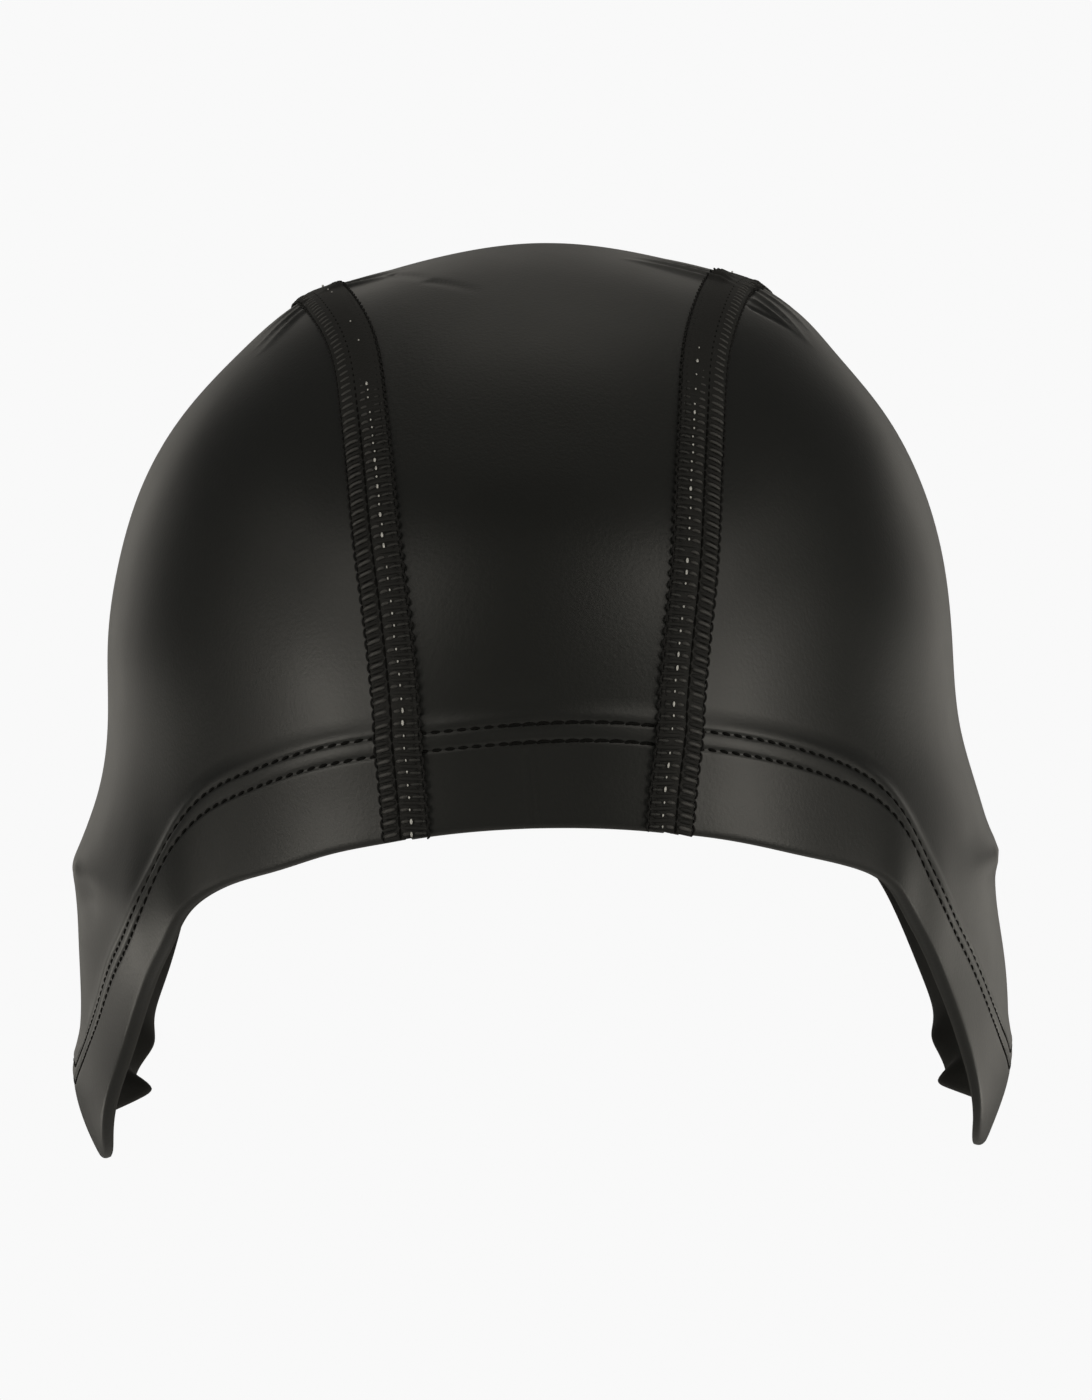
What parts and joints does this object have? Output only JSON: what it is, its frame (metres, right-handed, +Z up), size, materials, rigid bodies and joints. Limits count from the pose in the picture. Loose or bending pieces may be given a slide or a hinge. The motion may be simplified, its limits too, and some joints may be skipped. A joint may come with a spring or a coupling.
{
  "type": "swim cap",
  "caption": "Close-fitting coated-fabric swim cap with ear flaps, a centre panel set between flatlock seams and a stitched, turned-up hem.",
  "frame": {"origin": "the head seat: the highest point inside the cap, where the crown of a head rests", "axes": "+X to the viewer's right in the picture, which is the wearer's left; +Y from the forehead to the back of the head; +Z up"},
  "size_m": [0.1765, 0.1996, 0.1695],
  "materials": {
    "coated_cloth": "satin black polyurethane coating on stretch knit",
    "seam_thread": "matt black thread"
  },
  "bodies": {
    "root": {"centre_panel": "coated_cloth", "side_panel_left": "coated_cloth", "side_panel_right": "coated_cloth", "seam_left": "seam_thread", "seam_right": "seam_thread"}
  },
  "joints": []
}
